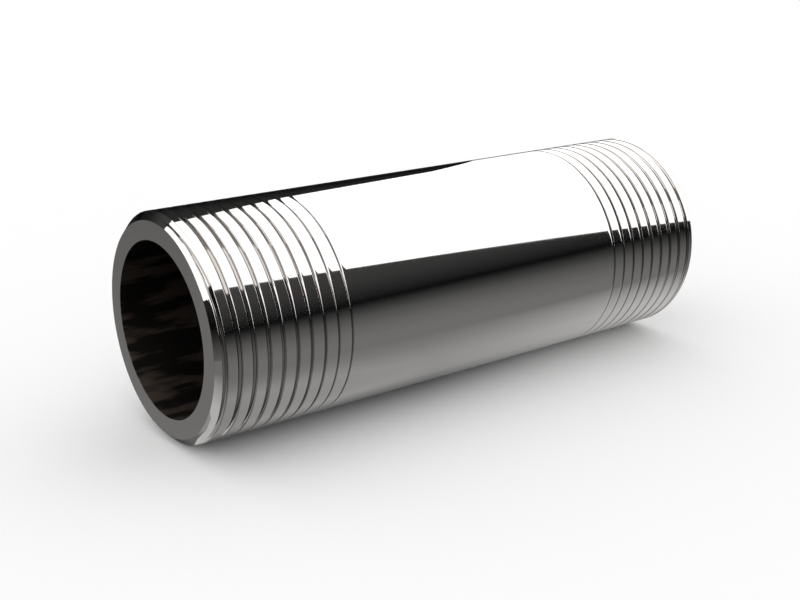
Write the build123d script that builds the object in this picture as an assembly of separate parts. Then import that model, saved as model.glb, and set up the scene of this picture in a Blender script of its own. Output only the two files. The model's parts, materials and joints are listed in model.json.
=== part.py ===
from build123d import *
import math
import os

# A straight length of heavy steel tube, 3/4 inch nominal size, with the same tapered
# pipe thread cut on both ends. It stands on one end: the axis is +Z and the origin is
# the middle of the bottom end face.
outer_diameter = 26.9
wall = 3.2
length = 75.0

# The bevel on the outer edge of each end face, which starts the nipple into a fitting.
bevel_width = 0.94
bevel_angle = 45.0

# The thread: fourteen turns to the inch, right-handed at both ends. Its root lies on a
# cone that opens by one part in sixteen of the diameter away from the end face, so the
# groove is deepest at the end, grows shallower and runs out on the plain body.
thread_pitch = 25.4 / 14
thread_taper = 1 / 16
thread_angle = 55.0
root_depth = 0.54

# Where the middle of the first turn lies, from the end face, and the side of the tube
# on which that is measured at each end, as a direction about the axis. The two ends are
# threaded one after the other, so nothing lines their turns up with each other.
first_turn = 0.72
bottom_turn_side = 195.0
top_turn_side = 92.0

outer_radius = outer_diameter / 2
bore_radius = outer_radius - wall


def sawn_tube():
    """The tube as it is cut to length, before its ends are worked."""
    standing = (Align.CENTER, Align.CENTER, Align.MIN)
    rod = Cylinder(outer_radius, length, align=standing)
    return rod - Cylinder(bore_radius, length, align=standing)


def thread_groove():
    """What the thread takes out of the bottom end, with its first turn on the +X side.

    A V stands on the root and reaches past the outside of the tube. The root is a
    conical helix, made turn by turn. It starts two turns early, below the end face, and
    ends where it has risen to the outside of the tube.
    """
    rise = thread_taper / 2
    cone_angle = math.degrees(math.atan(rise))
    run_out = root_depth / rise
    turns = round((run_out - first_turn) / thread_pitch)
    heights = [first_turn + turn * thread_pitch for turn in range(-2, turns)]
    heights.append(run_out)
    root = Wire(
        [
            Helix(
                thread_pitch / math.cos(math.radians(cone_angle)),
                high - low,
                outer_radius - root_depth + rise * low,
                center=(0, 0, low),
                cone_angle=cone_angle,
            )
            for low, high in zip(heights, heights[1:])
        ]
    )
    reach = 2 * root_depth
    half_width = reach * math.tan(math.radians(thread_angle / 2))
    v_shape = Polygon((0, 0), (reach, half_width), (reach, -half_width), align=None)
    across = Plane(origin=root @ 0, x_dir=(1, 0, 0), z_dir=root % 0)
    return sweep(across * v_shape, path=root, is_frenet=True)


def bevelled_bar():
    """A round bar as long as the tube and a little thicker, with both ends bevelled."""
    spare = wall / 2
    bar_radius = outer_radius + spare
    slope_length = (bevel_width + spare) / math.tan(math.radians(bevel_angle))
    half = Polygon(
        (0, 0),
        (outer_radius - bevel_width, 0),
        (bar_radius, slope_length),
        (bar_radius, length - slope_length),
        (outer_radius - bevel_width, length),
        (0, length),
        align=None,
    )
    return revolve(Plane.XZ * half, Axis.Z)


# The tube is threaded at both ends and bevelled last, so that the first turn of each
# thread runs out through the bevel.
groove = thread_groove()
bottom_groove = Rot(Z=bottom_turn_side) * groove
top_groove = Pos(Z=length) * Rot(Z=top_turn_side) * Rot(X=180) * groove
pipe_nipple = (sawn_tube() - bottom_groove - top_groove) & bevelled_bar()
pipe_nipple.label = "pipe_nipple"

os.makedirs("parts", exist_ok=True)
export_step(pipe_nipple, "parts/pipe_nipple.step")
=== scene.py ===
import json
import math

import bmesh
import bpy
from mathutils import Matrix, Vector


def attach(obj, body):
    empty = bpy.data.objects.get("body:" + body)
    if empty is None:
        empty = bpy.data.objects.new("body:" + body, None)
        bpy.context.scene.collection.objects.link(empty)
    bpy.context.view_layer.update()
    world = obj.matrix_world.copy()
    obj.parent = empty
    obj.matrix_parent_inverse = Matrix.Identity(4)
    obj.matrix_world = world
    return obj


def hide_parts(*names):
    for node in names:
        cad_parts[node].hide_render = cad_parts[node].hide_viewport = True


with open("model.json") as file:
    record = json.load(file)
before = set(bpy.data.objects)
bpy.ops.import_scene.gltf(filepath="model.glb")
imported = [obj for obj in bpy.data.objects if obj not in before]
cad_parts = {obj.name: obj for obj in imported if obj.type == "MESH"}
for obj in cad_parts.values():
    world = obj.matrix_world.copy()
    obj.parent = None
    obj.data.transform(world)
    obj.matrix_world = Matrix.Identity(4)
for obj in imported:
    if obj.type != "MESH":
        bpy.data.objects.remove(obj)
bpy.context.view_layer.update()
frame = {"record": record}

# The pipe nipple is one piece of heavy steel tube. Each end is threaded with a die and
# then faced and bevelled on a lathe, and the plain middle keeps the skin of the drawn
# tube. All lengths in this file are in metres, in the frame of the CAD model.
mm = 0.001
mounts = {mount["name"]: mount for mount in frame["record"]["mounts"]}
bore_radius = mounts["bore"]["dims"]["r_mm"] * mm
outer_radius = mounts["plain_body"]["dims"]["r_mm"] * mm
length = mounts["bore"]["dims"]["length_mm"] * mm
bevel_width = 0.94 * mm
bevel_rings = 16
edge_break = 0.02 * mm
weld_gap = edge_break / 9

# The thread has fourteen turns to the inch. Its root rises away from the end face, so the
# groove grows shallower, and the last turn fades into the skin of the tube.
thread_pitch = 25.4 / 14 * mm
root_depth = 0.57 * mm
root_rise = 1 / 32
least_depth = 0.09 * mm
last_turn_height = 17.5 * mm
last_turn_fade = 0.6 * mm
threaded_length = 18.9 * mm
first_turn = 0.72 * mm
bottom_turn_side = math.radians(195)
top_turn_side = math.radians(92)
sides = 144
off_side = 1e-4

# The groove itself: a V with flat crests beside it, whose edges are rounded a little on
# the side of the end face and eased off on the other side.
flank_slope = math.tan(math.radians(30))
groove_mouth = 0.74 * mm
least_width = 0.03 * mm
crest_reach = 0.06 * mm
ease_depth = 0.08 * mm
most_near_share = 0.4
most_far_share = 0.8
support_share = 0.15
near_crest_steps = 4
far_crest_steps = 8


def rounded(start, corner, end, steps):
    """Points on a curve that leaves one point for a corner and turns there to another."""
    shares = [step / steps for step in range(steps + 1)]
    return [start.lerp(corner, share).lerp(corner.lerp(end, share), share) for share in shares]


def groove_shape(depth):
    """One turn of thread where its root lies this deep: heights from its middle, depths.

    The throat of the die eases the edge further from the end face off, and the shallower
    the groove is, the more it does so. Short lines beside each curve keep what follows it
    flat when it is shaded.
    """
    mouth = groove_mouth / 2
    flank = max(depth * flank_slope, least_width)
    shallowness = 1 - depth / root_depth
    before = Vector((-thread_pitch / 2, 0))
    near_edge = Vector((-mouth, 0))
    root = Vector((flank - mouth, depth))
    far_edge = Vector((2 * flank - mouth, 0))
    near_share = min(crest_reach / max(depth, crest_reach), most_near_share)
    eased = edge_break + ease_depth * shallowness
    far_share = min(eased / max(depth, edge_break), most_far_share)
    land = far_edge + Vector((edge_break + 2 * (mouth - flank) * shallowness**0.5, 0))
    near_start = near_edge - Vector((crest_reach, 0))
    near_end = near_edge.lerp(root, near_share)
    near_crest = rounded(near_start, near_edge, near_end, near_crest_steps)
    far_crest = rounded(far_edge.lerp(root, far_share), far_edge, land, far_crest_steps)
    return [
        before,
        near_crest[0] - Vector((edge_break, 0)),
        *near_crest,
        near_crest[-1].lerp(root, support_share),
        root,
        far_crest[0].lerp(root, support_share),
        *far_crest,
        land + Vector((edge_break, 0)),
    ]


root_line = near_crest_steps + 4
lines_a_turn = len(groove_shape(root_depth))


def cut_across(mesh, height, **options):
    """A flat cut square to the axis."""
    bmesh.ops.bisect_plane(
        mesh,
        geom=mesh.verts[:] + mesh.edges[:] + mesh.faces[:],
        plane_co=(0, 0, height),
        plane_no=(0, 0, 1),
        **options,
    )


def rim(mesh, height):
    """The open edges that lie at one height."""
    return [
        edge
        for edge in mesh.edges
        if edge.is_boundary
        and all(abs(vertex.co.z - height) < weld_gap for vertex in edge.verts)
    ]


def draw_in(vertex, radius):
    """Moves a point of the tube straight in or out to this distance from the axis."""
    vertex.co.xy *= radius / vertex.co.xy.length


def threaded_skin(turn_side):
    """The outside of one threaded end, standing on its end face.

    A column of points is wound round the tube, one turn high, and welded to itself, so
    that its lines run round as the thread does. Each line then takes its place in the
    groove, and the ends are cut square. Last, the bevel is turned.
    """
    skin = bmesh.new()
    line_gap = thread_pitch / lines_a_turn
    start = first_turn - thread_pitch * turn_side / math.tau - thread_pitch / 2
    lowest = -2 * lines_a_turn
    highest = round(threaded_length / line_gap) + 3 * lines_a_turn
    column = [
        skin.verts.new((outer_radius, 0, start + count * line_gap))
        for count in range(lowest, highest)
    ]
    lines = [skin.edges.new(pair) for pair in zip(column, column[1:])]
    bmesh.ops.spin(
        skin,
        geom=column + lines,
        axis=(0, 0, 1),
        dvec=(0, 0, thread_pitch / sides),
        angle=math.tau,
        steps=sides,
    )
    bmesh.ops.remove_doubles(skin, verts=skin.verts[:], dist=weld_gap)

    roots = set()
    for vertex in skin.verts:
        azimuth = math.atan2(vertex.co.y, vertex.co.x)
        climb = vertex.co.z - start - thread_pitch * azimuth / math.tau
        line = round(climb / line_gap) % lines_a_turn
        middle = vertex.co.z - line * line_gap + thread_pitch / 2
        fade = min(max((last_turn_height - middle) / last_turn_fade + 1, 0), 1)
        depth = min(max(root_depth - root_rise * middle, least_depth), root_depth) * fade
        offset, drop = groove_shape(depth)[line]
        vertex.co.z = middle + offset
        vertex.co.x *= (outer_radius - drop) / outer_radius
        vertex.co.y *= (outer_radius - drop) / outer_radius
        if line == root_line:
            roots.add(vertex)
    for edge in skin.edges:
        edge.smooth = not roots.issuperset(edge.verts)

    cut_across(skin, 0, clear_inner=True)
    cut_across(skin, threaded_length, clear_outer=True)
    for ring in range(1, bevel_rings):
        cut_across(skin, bevel_width * ring / bevel_rings)
    for height in (edge_break, bevel_width - edge_break, bevel_width, bevel_width + edge_break):
        cut_across(skin, height)
    for vertex in skin.verts:
        bevel = outer_radius - bevel_width + vertex.co.z
        if bevel < vertex.co.xy.length:
            draw_in(vertex, bevel)

    # Both rims keep one point for each side of the tube, and lose what the cuts added.
    for height in (0, threaded_length):
        stray = {
            vertex
            for edge in rim(skin, height)
            for vertex in edge.verts
            if abs(math.remainder(math.atan2(vertex.co.y, vertex.co.x), math.tau / sides)) > off_side
        }
        bmesh.ops.dissolve_verts(skin, verts=list(stray))
    return skin


# The two threads are the same, and one is turned over onto the top end. The plain body
# joins them, and the end faces and the bore close the tube inside.
nipple = bmesh.new()
for turn_side, end_turn in (
    (bottom_turn_side, Matrix()),
    (-top_turn_side, Matrix.Translation((0, 0, length)) @ Matrix.Rotation(math.pi, 4, "X")),
):
    skin = threaded_skin(turn_side)
    skin.transform(end_turn)
    end = bpy.data.meshes.new("threaded_end")
    skin.to_mesh(end)
    skin.free()
    nipple.from_mesh(end)
    bpy.data.meshes.remove(end)

body_edges = rim(nipple, threaded_length) + rim(nipple, length - threaded_length)
bmesh.ops.bridge_loops(nipple, edges=body_edges)

bore_edges = []
for height, inward in ((0, 1), (length, -1)):
    edges = rim(nipple, height)
    for radius, depth in (
        (outer_radius - bevel_width - edge_break, 0),
        (bore_radius + 2 * edge_break, 0),
        (bore_radius + edge_break, 0),
        (bore_radius, edge_break),
        (bore_radius, 2 * edge_break),
    ):
        grown = bmesh.ops.extrude_edge_only(nipple, edges=edges)["geom"]
        edges = [part for part in grown if isinstance(part, bmesh.types.BMEdge)]
        corners = {vertex for edge in edges for vertex in edge.verts}
        for vertex in corners:
            draw_in(vertex, radius)
            vertex.co.z = height + inward * depth
    bore_edges += edges
bmesh.ops.bridge_loops(nipple, edges=bore_edges)
bmesh.ops.recalc_face_normals(nipple, faces=nipple.faces[:])
for face in nipple.faces:
    face.smooth = True
nipple_mesh = bpy.data.meshes.new("steel_nipple")
nipple.to_mesh(nipple_mesh)
nipple.free()
steel_nipple = bpy.data.objects.new("steel_nipple", nipple_mesh)
bpy.context.collection.objects.link(steel_nipple)
flat_shading = steel_nipple.modifiers.new("flat_shading", "WEIGHTED_NORMAL")
flat_shading.mode = "FACE_AREA"
flat_shading.weight = 80
flat_shading.keep_sharp = True


def connect(tree, value, socket):
    """Gives a socket what another node puts out, or a number or colour of its own."""
    if isinstance(value, bpy.types.NodeSocket):
        tree.links.new(value, socket)
    else:
        socket.default_value = value


def reckoned(tree, operation, *values):
    """The answer to one sum."""
    node = tree.nodes.new("ShaderNodeMath")
    node.operation = operation
    for value, socket in zip(values, node.inputs):
        connect(tree, value, socket)
    return node.outputs["Value"]


def ranged(tree, value, low, high, at_low=0, at_high=1):
    """How far a value lies from one limit to another, as a share, or what it makes there."""
    node = tree.nodes.new("ShaderNodeMapRange")
    for name, given in (
        ("Value", value),
        ("From Min", low),
        ("From Max", high),
        ("To Min", at_low),
        ("To Max", at_high),
    ):
        connect(tree, given, node.inputs[name])
    return node.outputs["Result"]


def mixed(tree, kind, share, first, second):
    """A colour, or a number if that is the kind, which goes over from one to another."""
    node = tree.nodes.new("ShaderNodeMix")
    node.data_type = kind
    for name, given in (("Factor", share), ("A", first), ("B", second)):
        connect(tree, given, node.inputs[name])
    return node.outputs["Result"]


def ramped(tree, share, stops):
    """A colour that follows a share from stop to stop."""
    node = tree.nodes.new("ShaderNodeValToRGB")
    elements = node.color_ramp.elements
    while len(elements) < len(stops):
        elements.new(0.5)
    for element, (position, colour) in zip(elements, stops):
        element.position = position
        element.color = colour
    connect(tree, share, node.inputs["Fac"])
    return node.outputs["Color"]


def grey(level):
    """The colour that is as light as this and has no tint."""
    return (level, level, level, 1)


def stretched(tree, place, scale):
    """The same places on a scale of their own in each direction."""
    node = tree.nodes.new("ShaderNodeMapping")
    node.inputs["Scale"].default_value = scale
    connect(tree, place, node.inputs["Vector"])
    return node.outputs["Vector"]


def uneven(tree, place, scale, detail):
    """A share that wanders from place to place."""
    node = tree.nodes.new("ShaderNodeTexNoise")
    node.inputs["Scale"].default_value = scale
    node.inputs["Detail"].default_value = detail
    connect(tree, place, node.inputs["Vector"])
    return node.outputs["Fac"]


# The finish is bright steel. Drawn marks run along the skin of the tube, and turned rings
# go round what the lathe and the die have cut, which is a little warmer in colour.
drawn_scale = (900, 900, 25)
drawn_detail = 3
turned_scale = 9000
turned_detail = 2
light_skin = (0.63, 0.62, 0.605, 1)
dark_skin = (0.59, 0.58, 0.567, 1)
cut_steel = (0.62, 0.60, 0.58, 1)
skin_roughness = (0.02, 0.06)
cut_roughness = (0.03, 0.09)

steel = bpy.data.materials.new("bright_steel")
steel.use_nodes = True
tree = steel.node_tree
shader = tree.nodes["Principled BSDF"]
shader.inputs["Metallic"].default_value = 1
place = tree.nodes.new("ShaderNodeTexCoord").outputs["Object"]
split = tree.nodes.new("ShaderNodeSeparateXYZ")
off_axis = tree.nodes.new("ShaderNodeCombineXYZ")
reach = tree.nodes.new("ShaderNodeVectorMath")
reach.operation = "LENGTH"
connect(tree, place, split.inputs["Vector"])
connect(tree, split.outputs["X"], off_axis.inputs["X"])
connect(tree, split.outputs["Y"], off_axis.inputs["Y"])
connect(tree, off_axis.outputs["Vector"], reach.inputs[0])
from_axis = reach.outputs["Value"]
ring_place = tree.nodes.new("ShaderNodeCombineXYZ")
connect(tree, from_axis, ring_place.inputs["X"])
drawn = uneven(tree, stretched(tree, place, drawn_scale), 1, drawn_detail)
turned = uneven(tree, ring_place.outputs["Vector"], turned_scale, turned_detail)

# How far under the skin a point of the thread lies. The skin is the outside of the tube,
# and over the bevels it is their slope.
from_middle = reckoned(tree, "SUBTRACT", split.outputs["Z"], length / 2)
from_middle = reckoned(tree, "ABSOLUTE", from_middle)
slope = reckoned(tree, "SUBTRACT", length / 2 + outer_radius - bevel_width, from_middle)
skin_radius = reckoned(tree, "MINIMUM", slope, outer_radius)
under_skin = reckoned(tree, "SUBTRACT", skin_radius, from_axis)
groove_share = ranged(tree, under_skin, 2 * edge_break, 6 * edge_break)
skin_colour = mixed(tree, "RGBA", drawn, light_skin, dark_skin)
bare_colour = mixed(tree, "RGBA", groove_share, skin_colour, cut_steel)

# Painted shade and painted reflection: the steel is painted dark just under the edges of
# the crests, for the dark lines that these edges mirror, and along the roots, for the shade
# deep in the grooves.
painted_shade_colour = (0.28, 0.25, 0.235, 1)
painted_shade_by_depth = ((0.02 * mm, 0), (0.04 * mm, 1), (0.11 * mm, 1), (0.14 * mm, 0))
painted_shade_stops = [(depth / root_depth, grey(share)) for depth, share in painted_shade_by_depth]
least_root_share = 0.78
full_root_share = 0.92
edge_painted_shade = ramped(tree, ranged(tree, under_skin, 0, root_depth), painted_shade_stops)
root_at_middle = root_depth - root_rise * length / 2
root = reckoned(tree, "MULTIPLY_ADD", from_middle, root_rise, root_at_middle)
root = reckoned(tree, "MAXIMUM", root, least_depth)
root_share = reckoned(tree, "DIVIDE", under_skin, root)
root_painted_shade = ranged(tree, root_share, least_root_share, full_root_share)
painted_shade_share = reckoned(tree, "MAXIMUM", root_painted_shade, edge_painted_shade)
off_end_face = reckoned(tree, "LESS_THAN", from_middle, length / 2 - edge_break / 2)
painted_shade_share = reckoned(tree, "MULTIPLY", painted_shade_share, off_end_face)
# Here the painted shade goes into the colour of the outside.
outside_colour = mixed(tree, "RGBA", painted_shade_share, bare_colour, painted_shade_colour)

# The bore keeps the dark brown scale of the furnace, in patches along the tube, and is dull.
# The brown and near black of these patches are partly painted reflection, standing in for
# the dark and brown that the bore mirrors inside it. Outside, the steel is polished, and the
# marks show in it here and there.
scale_and_reflection_stretch = (420, 420, 90)
scale_and_reflection_detail = 4
scale_and_reflection_stops = ((0.47, (0.03, 0.026, 0.024, 1)), (0.56, (0.16, 0.125, 0.105, 1)))
scale_roughness = 0.45
bore_share = ranged(tree, from_axis, bore_radius + 3 * edge_break, bore_radius + edge_break)
scale_and_reflection_patches = uneven(tree, stretched(tree, place, scale_and_reflection_stretch), 1, scale_and_reflection_detail)
# Scale colour with painted reflection in it.
scale_and_reflection_colour = ramped(tree, scale_and_reflection_patches, scale_and_reflection_stops)
colour = mixed(tree, "RGBA", bore_share, outside_colour, scale_and_reflection_colour)
polish = ranged(tree, drawn, 0, 1, *skin_roughness)
rings = ranged(tree, turned, 0, 1, *cut_roughness)
outside = mixed(tree, "FLOAT", groove_share, polish, rings)
roughness = mixed(tree, "FLOAT", bore_share, outside, scale_roughness)
connect(tree, colour, shader.inputs["Base Color"])
connect(tree, roughness, shader.inputs["Roughness"])
nipple_mesh.materials.append(steel)

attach(steel_nipple, "root")
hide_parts("pipe_nipple")

# The photograph shows the nipple lying on its side on white, so the way up in the
# photograph is across the axis here. The second direction is square to that and to the
# axis, and it points to the side of the tube that the photograph shows.
photo_up = Vector((-1, 1, 0)).normalized()
photo_side = Vector((-1, -1, 0)).normalized()
axis = Vector((0, 0, 1))


def plane_frame(centre, facing, across):
    """The placing of a flat shape at a centre, facing one way."""
    facing = facing.normalized()
    second = facing.cross(across).normalized()
    first = second.cross(facing)
    turn = Matrix((first, second, facing)).transposed().to_4x4()
    return Matrix.Translation(centre) @ turn


# White paper to stand and to lie on. Each sheet is seen from its front only, so that the
# one that the nipple lies on is out of the way where it is seen standing.
paper_size = 3.0
paper_gap = 0.05 * mm
paper = bpy.data.materials.new("white_paper")
paper.use_nodes = True
tree = paper.node_tree
tree.nodes.clear()
white = tree.nodes.new("ShaderNodeBsdfDiffuse")
white.inputs["Color"].default_value = grey(1)
nothing = tree.nodes.new("ShaderNodeBsdfTransparent")
which_side = tree.nodes.new("ShaderNodeNewGeometry")
one_sided = tree.nodes.new("ShaderNodeMixShader")
paper_out = tree.nodes.new("ShaderNodeOutputMaterial")
connect(tree, which_side.outputs["Backfacing"], one_sided.inputs["Fac"])
connect(tree, white.outputs["BSDF"], one_sided.inputs[1])
connect(tree, nothing.outputs["BSDF"], one_sided.inputs[2])
connect(tree, one_sided.outputs["Shader"], paper_out.inputs["Surface"])

for name, centre, facing in (
    ("paper_under_lying_nipple", -(outer_radius + edge_break) * photo_up, photo_up),
    ("paper_under_standing_nipple", -paper_gap * axis, axis),
):
    sheet = bmesh.new()
    bmesh.ops.create_grid(
        sheet,
        x_segments=1,
        y_segments=1,
        size=paper_size / 2,
        matrix=plane_frame(centre, facing, photo_side),
    )
    sheet_mesh = bpy.data.meshes.new(name)
    sheet.to_mesh(sheet_mesh)
    sheet.free()
    sheet_mesh.materials.append(paper)
    sheet_object = bpy.data.objects.new(name, sheet_mesh)
    bpy.context.collection.objects.link(sheet_object)
    sheet_object.visible_diffuse = False
    sheet_object.visible_glossy = False
    sheet_object.visible_shadow = False


# The studio round the nipple, which only its polished steel shows. It has a grey table
# below, a softbox above, and grey cards at the sides and the ends.
steel_level = 0.61


def shade(screen_grey):
    """The light level that polished steel shows as this grey of a screen, 0 to 255."""
    value = screen_grey / 255
    linear = ((value + 0.055) / 1.055) ** 2.4 if value > 0.04 else value / 12.92
    return linear / steel_level


def glowing_paint(name, level=1):
    """A paint that shines by itself."""
    paint = bpy.data.materials.new(name)
    paint.use_nodes = True
    tree = paint.node_tree
    tree.nodes.clear()
    glow = tree.nodes.new("ShaderNodeEmission")
    glow.inputs["Strength"].default_value = level
    paint_out = tree.nodes.new("ShaderNodeOutputMaterial")
    connect(tree, glow.outputs["Emission"], paint_out.inputs["Surface"])
    return paint


def along(tree, vector, way):
    """How far a vector reaches one way."""
    node = tree.nodes.new("ShaderNodeVectorMath")
    node.operation = "DOT_PRODUCT"
    node.inputs[1].default_value = way
    connect(tree, vector, node.inputs[0])
    return node.outputs["Value"]


def level_by_direction(tree, direction, way, levels):
    """A light level for each share that a direction has of one way, from -1 to 1."""
    share = ranged(tree, along(tree, direction, way), -1, 1)
    return ramped(tree, share, [((turn + 1) / 2, grey(level)) for turn, level in levels])


# How light the table and the cards are depends on the direction in which they are seen
# from the nipple: how far up or down, how far along the axis and, towards its top end, how
# far to either side. Straight down, and down on the side away from photo_side, the table is
# darker: painted shadow of the nipple on the table, as the steel mirrors it. They light the
# nipple only, and not the paper by way of it.
# Straight down, under the nipple, the greys are darker: painted shadow.
greys_by_height = (
    (-1.00, 100),
    (-0.95, 105),
    (-0.91, 135),
    (-0.81, 140),
    (-0.70, 120),
    (-0.58, 108),
    (-0.45, 107),
    (-0.31, 99),
    (-0.15, 80),
    (-0.05, 57),
    (0.00, 44),
    (0.05, 24),
    (0.085, 11),
    (0.12, 20),
    (0.20, 33),
    (0.37, 49),
    (0.60, 60),
)
levels_by_height = [(height, shade(screen_grey)) for height, screen_grey in greys_by_height]
levels_by_end = (
    (-1, 0.35),
    (-0.9, 0.4),
    (-0.82, 0.8),
    (-0.7, 1),
    (-0.3, 1),
    (-0.15, 0.42),
    (0.30, 0.42),
    (0.46, 1),
    (0.76, 1),
    (0.86, 0.4),
    (1, 0.4),
)
# On the side away from photo_side the table is darker: painted shadow of the nipple.
painted_shadow_by_side = ((-1, 0.5), (-0.72, 0.55), (-0.5, 0.82), (-0.3, 1), (1, 1))
side_shadow_full = 0.3
card_paint = glowing_paint("card_grey")
tree = card_paint.node_tree
glow = tree.nodes["Emission"]
unit = tree.nodes.new("ShaderNodeVectorMath")
unit.operation = "NORMALIZE"
connect(tree, tree.nodes.new("ShaderNodeTexCoord").outputs["Object"], unit.inputs[0])
direction = unit.outputs["Vector"]
height_level = level_by_direction(tree, direction, photo_up, levels_by_height)
end_level = level_by_direction(tree, direction, axis, levels_by_end)
side_shadow_level = level_by_direction(tree, direction, photo_side, painted_shadow_by_side)
far_share = ranged(tree, along(tree, direction, axis), 0, side_shadow_full)
side_shadow_level = mixed(tree, "FLOAT", far_share, 1, side_shadow_level)
ray = tree.nodes.new("ShaderNodeLightPath")
not_by_paper = reckoned(tree, "LESS_THAN", ray.outputs["Diffuse Depth"], 0.5)
level = reckoned(tree, "MULTIPLY", side_shadow_level, end_level)
level = reckoned(tree, "MULTIPLY", level, not_by_paper)
connect(tree, height_level, glow.inputs["Color"])
connect(tree, level, glow.inputs["Strength"])

# The softbox fills the sky. Below it hangs a grey frame with a window, which gives the
# standing nipple grey outlines.
softbox_level = 1.9
frame_grey = 145
softbox_paint = glowing_paint("softbox_glow", softbox_level)
frame_paint = glowing_paint("overhead_grey", shade(frame_grey))

# A light paper lies on the table beside the near end. Its glow is painted light, brightest
# beside the nipple and darker away from it.
paper_near_grey = 172
paper_far_grey = 105
paper_near_reach = 0.95 * outer_radius
paper_far_reach = 1.7 * outer_radius
paper_paint = glowing_paint("paper_glow")
tree = paper_paint.node_tree
aside = along(tree, tree.nodes.new("ShaderNodeTexCoord").outputs["Object"], photo_side)
level = ranged(
    tree, aside, paper_near_reach, paper_far_reach, shade(paper_near_grey), shade(paper_far_grey)
)
connect(tree, level, tree.nodes["Emission"].inputs["Strength"])

# A patch of painted light on the table, which fades in along the nipple and fades out on
# both sides. Its fade on the side next to the nipple is painted shadow of the nipple.
patch_grey = 178
patch_start = 2.6 * outer_radius
patch_full = 5.8 * outer_radius
patch_shadow_start = 0.15 * outer_radius
patch_shadow_full = 0.65 * outer_radius
patch_outer_start = 1.75 * outer_radius
patch_outer_full = 0.9 * outer_radius
patch_paint = glowing_paint("patch_glow", shade(patch_grey))
tree = patch_paint.node_tree
place = tree.nodes.new("ShaderNodeTexCoord").outputs["Object"]
aside = along(tree, place, photo_side)
fade_in = ranged(tree, along(tree, place, axis), patch_start, patch_full)
# The painted shadow of the nipple at the inner edge of the patch.
nipple_shadow_share = ranged(tree, aside, patch_shadow_start, patch_shadow_full)
outer_share = ranged(tree, aside, patch_outer_start, patch_outer_full)
patch_share = reckoned(tree, "MULTIPLY", outer_share, nipple_shadow_share)
patch_share = reckoned(tree, "MULTIPLY", patch_share, fade_in)
clear = tree.nodes.new("ShaderNodeBsdfTransparent")
patch = tree.nodes.new("ShaderNodeMixShader")
connect(tree, patch_share, patch.inputs["Fac"])
connect(tree, clear.outputs["BSDF"], patch.inputs[1])
connect(tree, tree.nodes["Emission"].outputs["Emission"], patch.inputs[2])
connect(tree, patch.outputs["Shader"], tree.nodes["Material Output"].inputs["Surface"])

# Each card is a flat shape some way off. Its corners are given as shares of that
# distance, across it and up it, from the middle of the bottom end face.
card_distance = 3.0
table_drop = 2.0
paper_drop = 1.04 * outer_radius
softbox_height = 6.0
frame_height = 5.0
table_outline = ((-30, -30), (30, -30), (30, 30), (-30, 30))
paper_outline = (
    (-2.5, 1.55),
    (-1.05, 1.15),
    (-0.53, 0.91),
    (-0.24, 0.72),
    (-0.1, 0.55),
    (0, 0.35),
    (0.12, 0.2),
    (0.12, 1.0),
    (-2.5, 2.4),
)
patch_outline = ((1.5, 0.1), (10, 0.1), (10, 2), (1.5, 2))
near_outline = (
    (-0.754, -0.3),
    (0.31, -0.3),
    (0.295, 0),
    (0.115, 0.54),
    (-0.01, 0.87),
    (-0.754, 0),
)
left_outline = ((-0.65, -0.3), (0.754, -0.3), (0.754, 0), (0.62, 0.22), (0.5, 0.42), (-0.65, 0.46))
far_outline = (
    (-1.3, -0.3),
    (0.84, -0.3),
    (0.84, 0.40),
    (0.67, 0.57),
    (0.66, 1.25),
    (-0.60, 1.25),
    (-0.60, 0.85),
    (-1.3, 0.72),
)
front_outline = ((-1.2, -0.1), (1.2, -0.1), (1.2, 0.41), (0.05, 0.41), (-0.2, 0.13), (-1.2, 0.13))
back_outline = (
    (-0.78, -0.1),
    (0.78, -0.1),
    (0.74, 0.25),
    (0.55, 0.55),
    (0.28, 0.73),
    (-0.28, 0.73),
    (-0.55, 0.55),
    (-0.74, 0.25),
)
half_frame_outline = (
    (-0.8, 0),
    (-0.28, 0),
    (-0.28, 0.25),
    (0.2, 0.25),
    (0.2, 0),
    (0.4, 0),
    (0.4, 1.3),
    (-0.3, 1.3),
    (-0.7, 0.85),
    (-0.8, 0.6),
)
other_half_outline = tuple((sideways, -upward) for sideways, upward in half_frame_outline)
softbox_outline = ((-10, -10), (10, -10), (10, 10), (-10, 10))

# For each side of the studio, the direction to it and the directions across it and up it.
below = (-photo_up, axis, photo_side)
above = (photo_up, axis, photo_side)
near_side = (
    (0.8 * photo_side + 0.6 * axis).normalized(),
    (0.8 * axis - 0.6 * photo_side).normalized(),
    photo_up,
)
left_side = (
    (0.8 * photo_side - 0.6 * axis).normalized(),
    (0.8 * axis + 0.6 * photo_side).normalized(),
    photo_up,
)
far_side = (-photo_side, axis, photo_up)
front_side = (-axis, photo_side, photo_up)
back_side = (axis, photo_side, photo_up)

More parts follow.
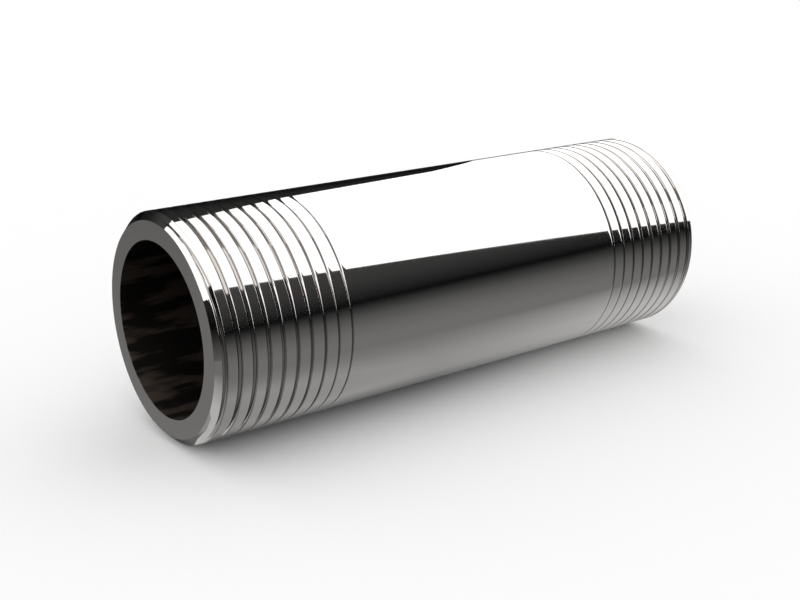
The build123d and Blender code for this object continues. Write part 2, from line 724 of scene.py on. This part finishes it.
for name, (outward, across, up), distance, outline, paint in (
    ("grey_table", below, table_drop, table_outline, card_paint),
    ("light_paper", below, paper_drop, paper_outline, paper_paint),
    ("painted_light_patch", below, paper_drop, patch_outline, patch_paint),
    ("near_dark_card", near_side, card_distance, near_outline, card_paint),
    ("left_dark_card", left_side, card_distance, left_outline, card_paint),
    ("far_dark_card", far_side, card_distance, far_outline, card_paint),
    ("front_dark_card", front_side, card_distance, front_outline, card_paint),
    ("back_dark_card", back_side, card_distance, back_outline, card_paint),
    ("overhead_near_card", above, frame_height, half_frame_outline, frame_paint),
    ("overhead_far_card", above, frame_height, other_half_outline, frame_paint),
    ("softbox", above, softbox_height, softbox_outline, softbox_paint),
):
    card = bmesh.new()
    corners = [
        card.verts.new(distance * (outward + sideways * across + upward * up))
        for sideways, upward in outline
    ]
    card.faces.new(corners)
    card_mesh = bpy.data.meshes.new(name)
    card.to_mesh(card_mesh)
    card.free()
    card_mesh.materials.append(paint)
    card_object = bpy.data.objects.new(name, card_mesh)
    bpy.context.collection.objects.link(card_object)
    card_object.visible_camera = False
    card_object.visible_diffuse = False
    card_object.visible_transmission = False
    card_object.visible_volume_scatter = False
    card_object.visible_shadow = False

# The white all round, which lights the paper evenly.
world = bpy.data.worlds.new("white_studio")
bpy.context.scene.world = world
world.use_nodes = True
background = world.node_tree.nodes["Background"]
background.inputs["Color"].default_value = grey(1)
background.inputs["Strength"].default_value = 1
world.cycles.sampling_method = "NONE"
bpy.context.scene.view_settings.view_transform = "Standard"

# The camera stands a little above the nipple's near end and looks along it.
camera_place = Vector((-0.11535, -0.05191, -0.05547))
camera_right = Vector((-0.4256, -0.4256, 0.7987)).normalized()
camera_up = Vector((-0.4996, 0.8464, 0.1848))
camera_back = camera_right.cross(camera_up).normalized()
camera_up = camera_back.cross(camera_right)
camera_turn = Matrix((camera_right, camera_up, camera_back)).transposed().to_4x4()
camera_data = bpy.data.cameras.new("camera")
camera_data.lens = 54.48
camera_data.sensor_width = 36
camera_data.clip_start = 0.01
camera_data.clip_end = 100
camera = bpy.data.objects.new("camera", camera_data)
camera.matrix_world = Matrix.Translation(camera_place) @ camera_turn
bpy.context.collection.objects.link(camera)
bpy.context.scene.camera = camera
